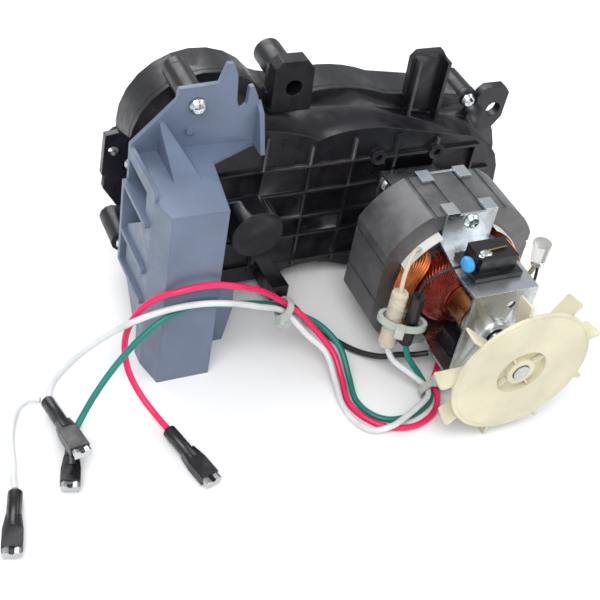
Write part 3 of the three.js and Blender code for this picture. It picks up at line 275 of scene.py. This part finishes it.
def insulation(name, colour, rough=0.38):
    """Soft lead insulation: slight sheen, faint drawn waviness and handling marks."""
    material, nodes, links, shader = tree(name)
    shader.inputs["Subsurface Weight"].default_value = 0.06
    shader.inputs["Subsurface Radius"].default_value = (0.001, 0.001, 0.001)
    space = coordinates(nodes, links)
    drift = noise(nodes, links, space, 55, 4)
    tone = ramp(nodes, links, drift, [(0.3, shade(colour, 0.82)), (0.72, shade(colour, 1.1))])
    marks = ramp(nodes, links, noise(nodes, links, space, 600, 6, 0.7), [(0.62, 0.0), (0.78, 0.4)])
    base = mix(nodes, links, marks, tone, shade(colour, 0.55))
    links.new(base, shader.inputs["Base Color"])
    roughness = ramp(nodes, links, drift, [(0.3, rough - 0.1), (0.7, rough + 0.14)])
    links.new(roughness, shader.inputs["Roughness"])
    normal = bump(nodes, links, noise(nodes, links, space, 380, 3), 0.0001, 0.35)
    links.new(normal, shader.inputs["Normal"])
    return material


def translucent(name, colour, rough, through):
    material = moulded(name, colour, rough, edge=0.0003, dust=0.1)
    shader = material.node_tree.nodes["Principled BSDF"]
    shader.inputs["Transmission Weight"].default_value = through
    shader.inputs["IOR"].default_value = 1.46
    return material


FINISH = {
    "case_black": moulded("case_black", (0.006, 0.006, 0.009), 0.36, 0.0007, 1900, 0.00005, 0.06),
    "bracket_blue": moulded("bracket_blue", (0.125, 0.16, 0.235), 0.4, 0.0007, 2400, 0.00003, 0.2),
    "fan_cream": moulded(
        "fan_cream", (0.63, 0.585, 0.43), 0.5, 0.0004, 2600, 0.00002, 0.2, (0.42, 0.36, 0.24)
    ),
    "gear_nylon": moulded(
        "gear_nylon", (0.78, 0.76, 0.66), 0.45, 0.0002, 2600, 0.00002, 0.2, (0.5, 0.45, 0.34)
    ),
    "steel_plate": laminated("steel_plate", (0.21, 0.21, 0.215), 0.0006),
    "zinc": metal("zinc", (0.60, 0.63, 0.66), 0.27, 0.0003, (1, 6, 1), 0.4, (0.42, 0.40, 0.33)),
    "steel": metal("steel", (0.55, 0.56, 0.57), 0.2, 0.0002),
    "copper": enamel("copper", (0.72, 0.20, 0.045)),
    "film": moulded("film", (0.80, 0.80, 0.76), 0.5, 0.0001, 3000, 0.00001, 0.2, (0.6, 0.55, 0.42)),
    "carbon": moulded("carbon", (0.022, 0.022, 0.025), 0.6, 0.0002, 3400, 0.00005, 0.2),
    "holder_black": moulded("holder_black", (0.007, 0.007, 0.009), 0.3, 0.0004, 2600, 0.00003, 0.14),
    "brass": metal("brass", (0.62, 0.42, 0.14), 0.28),
    "blue": moulded("blue", (0.03, 0.30, 0.66), 0.32, 0.0004),
    "sleeve": insulation("sleeve", (0.60, 0.54, 0.43), 0.8),
    "tie_nylon": translucent("tie_nylon", (0.55, 0.60, 0.55), 0.35, 0.25),
    "clear": translucent("clear", (0.86, 0.86, 0.84), 0.15, 0.8),
    "lead_white": insulation("lead_white", (0.68, 0.70, 0.71)),
    "lead_green": insulation("lead_green", (0.0, 0.20, 0.155)),
    "lead_red": insulation("lead_red", (0.82, 0.012, 0.11)),
    "lead_black": insulation("lead_black", (0.012, 0.012, 0.014)),
}

SPECIAL = {
    "commutator": metal("commutator_bars", (0.62, 0.30, 0.14), 0.25, 0.0001),
    "armature_winding_front": enamel("winding_lacquer", (0.34, 0.035, 0.02), 0.2),
}
SPECIAL["armature_winding_rear"] = SPECIAL["armature_winding_front"]
BODY_OF = {
    node: body for body, group in frame["record"]["behaviour"]["bodies"].items() for node in group
}
SHARP_ANGLE = 40  # degrees above which an edge stays crisp
SHARP = {"chute_bracket": 9, "stator_core": 20}  # the same, for pieces with shallow edges
FLAT_ANGLE = 0.5  # degrees below which two faces are joined into one
WELD_DISTANCE = 2e-6
REMADE = {
    "lead_white", "lead_red", "lead_green", "lead_jumper", "lead_black",
    "field_coil_right", "field_coil_left", "braided_sleeve", "cooling_fan", "suppressor",
}


def refine(node, slot_name):
    """A welded copy of the solid, with its curved walls shaded smooth and its edges kept crisp."""
    source = bpy.data.objects[node]
    solid = bmesh.new()
    solid.from_mesh(source.data)
    solid.transform(source.matrix_world)
    bmesh.ops.remove_doubles(solid, verts=solid.verts, dist=WELD_DISTANCE)
    bmesh.ops.dissolve_limit(
        solid, angle_limit=math.radians(FLAT_ANGLE), verts=solid.verts, edges=solid.edges
    )
    data = bpy.data.meshes.new(node + "_finish")
    solid.to_mesh(data)
    solid.free()
    for face in data.polygons:
        face.use_smooth = True
    data.set_sharp_from_angle(angle=math.radians(SHARP.get(node, SHARP_ANGLE)))
    piece = link(node + "_finish", data, SPECIAL.get(node, FINISH[slot_name]), BODY_OF[node])
    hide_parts(node)


for sub in frame["record"]["subparts"]:
    if sub["node"] not in REMADE:
        refine(sub["node"], sub["material_slot"])


# ---------------------------------------------------------------- loose leads
def bezier_route(points):
    """Bezier handles of the centripetal spline through the points."""
    route = [2 * points[0] - points[1], *points, 2 * points[-1] - points[-2]]
    handles = []
    for index in range(1, len(route) - 1):
        before, here, after = route[index - 1 : index + 2]
        step_in = math.sqrt((here - before).length)
        step_out = math.sqrt((after - here).length)
        slope = (here - before) / step_in - (after - before) / (step_in + step_out)
        slope += (after - here) / step_out
        handles.append((here - slope * step_in / 3, here + slope * step_out / 3))
    return handles


def lead_curve(name, points, diameter, material, resolution=8):
    handles = bezier_route(points)
    curve = bpy.data.curves.new(name, "CURVE")
    curve.dimensions = "3D"
    curve.bevel_depth = diameter / 2
    curve.bevel_resolution = 4
    curve.resolution_u = resolution
    curve.use_fill_caps = True
    spline = curve.splines.new("BEZIER")
    spline.bezier_points.add(len(points) - 1)
    for knot, point, (left, right) in zip(spline.bezier_points, points, handles):
        knot.handle_left_type = knot.handle_right_type = "FREE"
        knot.co, knot.handle_left, knot.handle_right = point, left, right
    return link(name, curve, material)


def route_length(points, steps=16):
    """Length along the Bezier route, summed over short straight steps."""
    total = 0.0
    handles = bezier_route(points)
    for index in range(len(points) - 1):
        a, b = points[index], handles[index][1]
        c, d = handles[index + 1][0], points[index + 1]
        last = a
        for step in range(1, steps + 1):
            t = step / steps
            here = a * (1 - t) ** 3 + b * 3 * t * (1 - t) ** 2 + c * 3 * t * t * (1 - t) + d * t**3
            total += (here - last).length
            last = here
    return total


LEADS = [
    ("lead_white", "lead_white", "connector", ["terminal_white", "lead_tie_lower", "lead_tie_upper"]),
    ("lead_red", "lead_red", "connector", ["terminal_red"]),
    ("lead_green", "lead_green", "connector", ["terminal_green"]),
    ("lead_jumper", "lead_white", "connector", ["terminal_jumper"]),
    ("lead_black", "lead_black", "object", []),
]
for node, finish, far_end, pieces in LEADS:
    points = [place(*point) for point in ROUTES[node]]
    lead = lead_curve(node + "_cord", points, LEAD_DIAMETER, FINISH[finish])
    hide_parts(node)
    length = route_length(points)


# ---------------------------------------------------------------- mesh helpers
def tube(vertices, faces, path, radius, sides=6, closed=False, flat=1.0):
    """Adds a round or flattened tube along a list of points to the vertex and face lists."""
    first = len(vertices)
    count = len(path)
    normal = None
    for index, point in enumerate(path):
        after = path[(index + 1) % count] if closed else path[min(index + 1, count - 1)]
        before = path[index - 1] if closed else path[max(index - 1, 0)]
        along = (after - before).normalized()
        if normal is None:
            normal = along.orthogonal().normalized()
        normal = (normal - along * normal.dot(along)).normalized()
        side = along.cross(normal)
        for corner in range(sides):
            angle = 2 * math.pi * corner / sides
            offset = normal * math.cos(angle) + side * math.sin(angle) * flat
            vertices.append(point + offset * radius)
    rings = count if closed else count - 1
    for ring in range(rings):
        near = first + ring * sides
        far = first + ((ring + 1) % count) * sides
        for corner in range(sides):
            other = (corner + 1) % sides
            faces.append((near + corner, near + other, far + other, far + corner))
    if not closed:
        faces.append(tuple(first + corner for corner in reversed(range(sides))))
        faces.append(tuple(first + (count - 1) * sides + corner for corner in range(sides)))


def mesh_object(name, vertices, faces, material, body="housing", smooth=True):
    data = bpy.data.meshes.new(name)
    data.from_pydata(vertices, [], faces)
    data.validate()
    for polygon in data.polygons:
        polygon.use_smooth = smooth
    data.update()
    return link(name, data, material, body)


def ring_point(radius, degrees, y):
    angle = math.radians(degrees)
    return place(radius * math.cos(angle), y, radius * math.sin(angle))


# ---------------------------------------------------------------- cooling wheel
def cooling_wheel():
    """A thin disc with a banded rim, a recessed hub with four webs, and nine blades behind it."""
    vertices, faces = [], []

    def lathe(pairs, sides=96):
        first = len(vertices)
        for radius, y in pairs:
            for corner in range(sides):
                vertices.append(ring_point(radius, 360 * corner / sides, y))
        for ring in range(len(pairs)):
            near = first + ring * sides
            far = first + ((ring + 1) % len(pairs)) * sides
            for corner in range(sides):
                other = (corner + 1) % sides
                faces.append((near + corner, far + corner, far + other, near + other))

    lathe([
        (4.35, 0.8), (4.6, 0.6), (7.1, 0.6), (7.3, 0.8), (7.35, 3.1), (7.6, 3.3), (12.3, 3.3),
        (12.6, 3.1), (12.8, 0.4), (13.2, 0.0), (33.6, 0.0), (33.9, 0.25), (34.6, 0.25), (34.9, 0.0),
        (35.7, 0.0), (36.0, 0.3), (36.0, 1.7), (35.7, 2.0), (14.6, 2.0), (14.2, 2.4), (14.2, 4.6),
        (13.9, 4.8), (9.8, 4.8), (9.5, 5.1), (9.4, 15.6), (9.0, 16.0), (4.7, 16.0), (4.35, 15.7),
    ])

    def slab_between(corners, half, angle):
        """A blade or web: an outline in radius and depth, given a thickness round a direction."""
        first = len(vertices)
        turn = math.radians(angle)
        out = Vector((math.cos(turn), 0, math.sin(turn)))
        side = Vector((-math.sin(turn), 0, math.cos(turn)))
        for way in (-1, 1):
            for radius, y, taper in corners:
                spot = place(0, y, 0) + out * radius / MM_PER_METRE
                vertices.append(spot + side * way * half * taper / MM_PER_METRE)
        count = len(corners)
        faces.append(tuple(first + index for index in range(count)))
        faces.append(tuple(first + count + index for index in reversed(range(count))))
        for index in range(count):
            after = (index + 1) % count
            faces.append((first + index, first + count + index, first + count + after, first + after))

    # Each corner is a radius and a depth in millimetres, and a share of the full thickness.
    blade = [
        (8.8, 4.4, 1.0), (13.8, 4.4, 1.0), (13.8, 1.6, 1.0), (35.0, 1.6, 1.0), (41.6, 1.0, 0.9),
        (42.5, 1.6, 0.85), (42.6, 3.2, 0.85), (41.4, 10.4, 0.65), (40.8, 11.0, 0.6), (8.8, 11.0, 0.8),
    ]
    web = [(7.0, 1.1, 0.8), (12.9, 1.1, 0.8), (12.9, 3.4, 1.0), (7.0, 3.4, 1.0)]
    blades, first_blade, blade_half = 9, 20, 0.8
    webs, first_web, web_half = 4, 35, 0.7
    for index in range(blades):
        slab_between(blade, blade_half, first_blade + 360 / blades * index)
    for index in range(webs):
        slab_between(web, web_half, first_web + 360 / webs * index)
    wheel = mesh_object("cooling_wheel", vertices, faces, FINISH["fan_cream"], "rotor")
    wheel.data.set_sharp_from_angle(angle=math.radians(38))
    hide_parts("cooling_fan")


cooling_wheel()


# ---------------------------------------------------------------- field coils
def field_coil(node, side):
    """Loops of enamelled wire round one pole, in nested turns and several layers."""
    vertices, faces = [], []
    turns, layers = 10, 4
    wire_radius, layer_pitch, inner_layer = 0.00052, 1.13, 29.6
    pole_half, side_width = 24.6, 25.4  # degrees about the motor axis
    front_mouth, rear_mouth, end_height, stagger = 67.6, 101.4, 10.4, 0.3
    steps, squareness = 24, 0.35
    for layer in range(layers):
        radius = inner_layer + layer * layer_pitch
        for turn in range(turns):
            fraction = (turn + 0.5) / turns
            half = pole_half + fraction * side_width
            front = front_mouth - fraction * end_height + (layer % 2) * stagger
            rear = rear_mouth + fraction * end_height
            middle, reach = (front + rear) / 2, (rear - front) / 2
            path = []
            for step in range(steps):
                angle = 2 * math.pi * step / steps
                wide = math.copysign(abs(math.cos(angle)) ** squareness, math.cos(angle))
                tall = math.copysign(abs(math.sin(angle)) ** squareness, math.sin(angle))
                path.append(ring_point(radius, side + wide * half, middle + tall * reach))
            tube(vertices, faces, arc_fill(path, radius), wire_radius, closed=True)
    coil = mesh_object(node + "_wire", vertices, faces, FINISH["copper"])
    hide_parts(node)


def arc_fill(path, radius):
    """Extra points between far neighbours, pushed out to the coil's radius about the motor axis."""
    dense = []
    longest_step = 0.004
    axis_x, axis_z = AXIS[0] / MM_PER_METRE, AXIS[2] / MM_PER_METRE
    for index, point in enumerate(path):
        after = path[(index + 1) % len(path)]
        dense.append(point)
        pieces = int((after - point).length / longest_step)
        for step in range(1, pieces):
            middle = point.lerp(after, step / pieces)
            out = Vector((middle.x - axis_x, 0, middle.z - axis_z))
            out = out.normalized() * radius / MM_PER_METRE
            dense.append(Vector((out.x + axis_x, middle.y, out.z + axis_z)))
    return dense


field_coil("field_coil_right", 0)
field_coil("field_coil_left", 180)


# ---------------------------------------------------------------- armature winding
def winding_strands(name, sign, near, shoulder_y, tip, outer, inner):
    """Strands that lie on the lacquered end of the armature, each bent from one slot to another."""
    vertices, faces = [], []
    strands, steps, strand_radius = 60, 8, 0.00055
    shoulder = 0.35  # share of a strand that stays on the outer radius before it bends inward
    sweep, lift = 70, 0.1  # degrees turned by the tip, and millimetres above the lacquer
    for index in range(strands):
        start = 360 / strands * index
        path = []
        for step in range(steps + 1):
            t = step / steps
            if t < shoulder:
                radius, y = outer, near + (shoulder_y - near) * t / shoulder
            else:
                slide = (t - shoulder) / (1 - shoulder)
                radius, y = outer + (inner - outer) * slide, shoulder_y + (tip - shoulder_y) * slide
            path.append(ring_point(radius + lift, start + sign * sweep * t * t, y))
        tube(vertices, faces, path, strand_radius, sides=5)
    strands_object = mesh_object(name, vertices, faces, SPECIAL["armature_winding_front"], "rotor")


winding_strands("winding_strands_front", 1, 68.6, 60.5, 52.9, 21.4, 12.8)
winding_strands("winding_strands_rear", -1, 100.4, 105.0, 109.7, 21.4, 13.4)


# ---------------------------------------------------------------- braided sleeve
def braid(name, start, end, radius, strands=9, turns=3.2):
    """Two families of flat strands that cross over and under each other round a tube."""
    vertices, faces = [], []
    along = end - start
    axis = along.normalized()
    side = axis.orthogonal().normalized()
    other = axis.cross(side)
    steps, strand_radius, strand_width = 90, 0.00042, 1.9
    inset, crossing_lift, core_inset = 0.00045, 0.00022, 0.0008
    for direction in (-1, 1):
        for strand in range(strands):
            path = []
            for step in range(steps + 1):
                t = step / steps
                angle = 2 * math.pi * (strand / strands + direction * turns * t)
                crossing = math.cos(strands * 2 * math.pi * turns * t + math.pi * strand)
                reach = radius - inset + crossing_lift * direction * crossing
                outward = side * math.cos(angle) + other * math.sin(angle)
                path.append(start + along * t + outward * reach)
            tube(vertices, faces, path, strand_radius, flat=strand_width)
    core_path = [start + along * t for t in (0.0, 0.25, 0.5, 0.75, 1.0)]
    tube(vertices, faces, core_path, radius - core_inset, sides=16)
    return mesh_object(name, vertices, faces, FINISH["sleeve"])


sleeve = braid("braided_sleeve_weave", place(-40.5, 51.5, 13), place(-40.5, 51.5, -20), 0.0039)
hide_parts("braided_sleeve")


# ---------------------------------------------------------------- short wires held inside the motor
def short_wire(name, points, diameter, finish):
    wire = lead_curve(name, [place(*point) for point in points], diameter, FINISH[finish], 6)


SHORT_WIRES = [
    ("wire_fuse_top", 0.0014, "lead_black",
     [(-33.5, 46.5, 13.5), (-33, 46, 22), (-27, 44, 29), (-18, 44, 31), (-9.5, 44, 30)]),
    ("wire_sleeve_top", 0.0022, "sleeve",
     [(-40.5, 51.5, 12), (-39, 54, 22), (-33, 60, 29), (-27, 64, 27)]),
    ("wire_cap_sleeved", 0.0024, "sleeve",
     [(30.6, 47, 22), (31.6, 50, 12), (32, 55, 5), (31.4, 60, 1)]),
    ("wire_cap_black", 0.0015, "lead_black",
     [(31.2, 46.4, 22), (29, 43, 12), (22, 42, 8), (13, 43, 14), (9.5, 43.6, 20)]),
]
for wire_name, wire_diameter, wire_finish, wire_points in SHORT_WIRES:
    short_wire(wire_name, wire_points, wire_diameter, wire_finish)


# ---------------------------------------------------------------- small details
def blob(name, centre, sizes, finish, lumps):
    """A rounded lump: a ball stretched along three axes, with a seeded unevenness."""
    vertices, faces = [], []
    rings, sides = 12, 20
    chance = random.Random(name)
    for ring in range(rings + 1):
        polar = math.pi * ring / rings
        for corner in range(sides):
            around = 2 * math.pi * corner / sides
            swell = 1 + lumps * (chance.random() - 0.5) * math.sin(polar)
            x = sizes[0] * math.sin(polar) * math.cos(around) * swell
            y = sizes[1] * math.sin(polar) * math.sin(around) * swell
            z = sizes[2] * math.cos(polar) * swell
            vertices.append(place(centre[0] + x, centre[1] + y, centre[2] + z))
    for ring in range(rings):
        for corner in range(sides):
            other = (corner + 1) % sides
            near, far = ring * sides, (ring + 1) * sides
            faces.append((near + corner, near + other, far + other, far + corner))
    thing = mesh_object(name, vertices, faces, FINISH[finish])
    weld = bmesh.new()
    weld.from_mesh(thing.data)
    bmesh.ops.remove_doubles(weld, verts=weld.verts, dist=1e-6)
    weld.to_mesh(thing.data)
    weld.free()
    return thing


suppressor = blob("suppressor_body", (-14.6, 42.5, 33.2), (3.0, 4.4, 3.6), "blue", 0.05)
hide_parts("suppressor")
blob("solder_blob", (-5.6, 43.2, 37.6), (3.2, 2.4, 0.9), "zinc", 0.35)
blob("solder_drip", (-8.6, 42.0, 37.2), (1.7, 1.5, 0.8), "zinc", 0.35)


def brass_tab(name, corners, thick):
    """A folded strip of sheet brass that follows a line of points in one plane."""
    vertices, faces = [], []
    tube(vertices, faces, [place(*corner) for corner in corners], thick, sides=4, flat=3.2)
    tab = mesh_object(name, vertices, faces, FINISH["brass"], smooth=False)


brass_tab("holder_tab", [(-3.5, 44.5, 37.9), (2.0, 45.0, 37.9), (6.5, 45.4, 37.9)], 0.00045)


def terminal_mouth(lead, terminal):
    """The bright rolled end of the push-on receptacle, showing past its dark sleeve."""
    corners = [vertex.co for vertex in bpy.data.objects[terminal + "_finish"].data.vertices]
    end = place(*ROUTES[lead][-1])
    face_corners, mouth_depths = 4, (-3.6, 0.15)
    far = sorted(corners, key=lambda corner: -(corner - end).length)[:face_corners]
    face = sum(far, Vector()) / len(far)
    along = (face - end).normalized()
    across = along.cross(Vector((0, 0, 1))).normalized()
    up = across.cross(along)
    vertices, faces = [], []
    outline = [
        (-3.9, 0.0), (-3.9, 1.5), (-2.9, 1.95), (-1.2, 1.6), (-0.5, 0.7), (0.5, 0.7), (1.2, 1.6),
        (2.9, 1.95), (3.9, 1.5), (3.9, 0.0), (3.7, -1.6), (-3.7, -1.6),
    ]
    for depth in mouth_depths:
        for across_mm, up_mm in outline:
            spot = face + along * depth / MM_PER_METRE + across * across_mm / MM_PER_METRE
            vertices.append(spot + up * up_mm / MM_PER_METRE)
    count = len(outline)
    for index in range(count):
        after = (index + 1) % count
        faces.append((index, after, count + after, count + index))
    faces.append(tuple(reversed(range(count))))
    faces.append(tuple(range(count, 2 * count)))
    mouth = mesh_object(terminal + "_mouth", vertices, faces, FINISH["steel"], smooth=False)


for lead_name, terminal_name in (
    ("lead_white", "terminal_white"), ("lead_green", "terminal_green"),
    ("lead_jumper", "terminal_jumper"), ("lead_red", "terminal_red"),
):
    terminal_mouth(lead_name, terminal_name)


# ---------------------------------------------------------------- floor and light
def make_stage():
    material, nodes, links, shader = tree("stage_floor")
    space = coordinates(nodes, links)
    cloud = noise(nodes, links, space, 9, 4)
    tone = ramp(nodes, links, cloud, [(0.3, 0.90), (0.7, 0.93)])
    links.new(tone, shader.inputs["Base Color"])
    shader.inputs["Roughness"].default_value = 0.7
    data = bpy.data.meshes.new("stage_floor")
    reach = 3.0
    corners = [(-reach, -reach, 0), (reach, -reach, 0), (reach, reach, 0), (-reach, reach, 0)]
    data.from_pydata(corners, [], [(0, 1, 2, 3)])
    data.materials.append(material)
    floor = bpy.data.objects.new("stage_floor", data)
    bpy.context.collection.objects.link(floor)
    for name, spot, size, power, aim in (
        ("key_light", (-0.45, -0.55, 0.95), 0.7, 9, (0, 0, 0.03)),
        ("fill_light", (0.9, -0.6, 0.75), 0.8, 5, (0, 0, 0.04)),
        ("rear_light", (-0.1, 1.0, 0.9), 0.9, 9, (0, 0, 0.05)),
    ):
        lamp = bpy.data.lights.new(name, "AREA")
        lamp.shape = "SQUARE"
        lamp.size = size
        lamp.energy = power
        lamp_object = bpy.data.objects.new(name, lamp)
        lamp_object.location = spot
        lamp_object.rotation_euler = (Vector(aim) - Vector(spot)).to_track_quat("-Z", "Y").to_euler()
        bpy.context.collection.objects.link(lamp_object)
    world = bpy.data.worlds.new("studio")
    world.use_nodes = True
    world.node_tree.nodes["Background"].inputs["Color"].default_value = (0.95, 0.97, 1.0, 1)
    world.node_tree.nodes["Background"].inputs["Strength"].default_value = 0.62
    bpy.context.scene.world = world
    bpy.context.scene.view_settings.view_transform = "Standard"


make_stage()
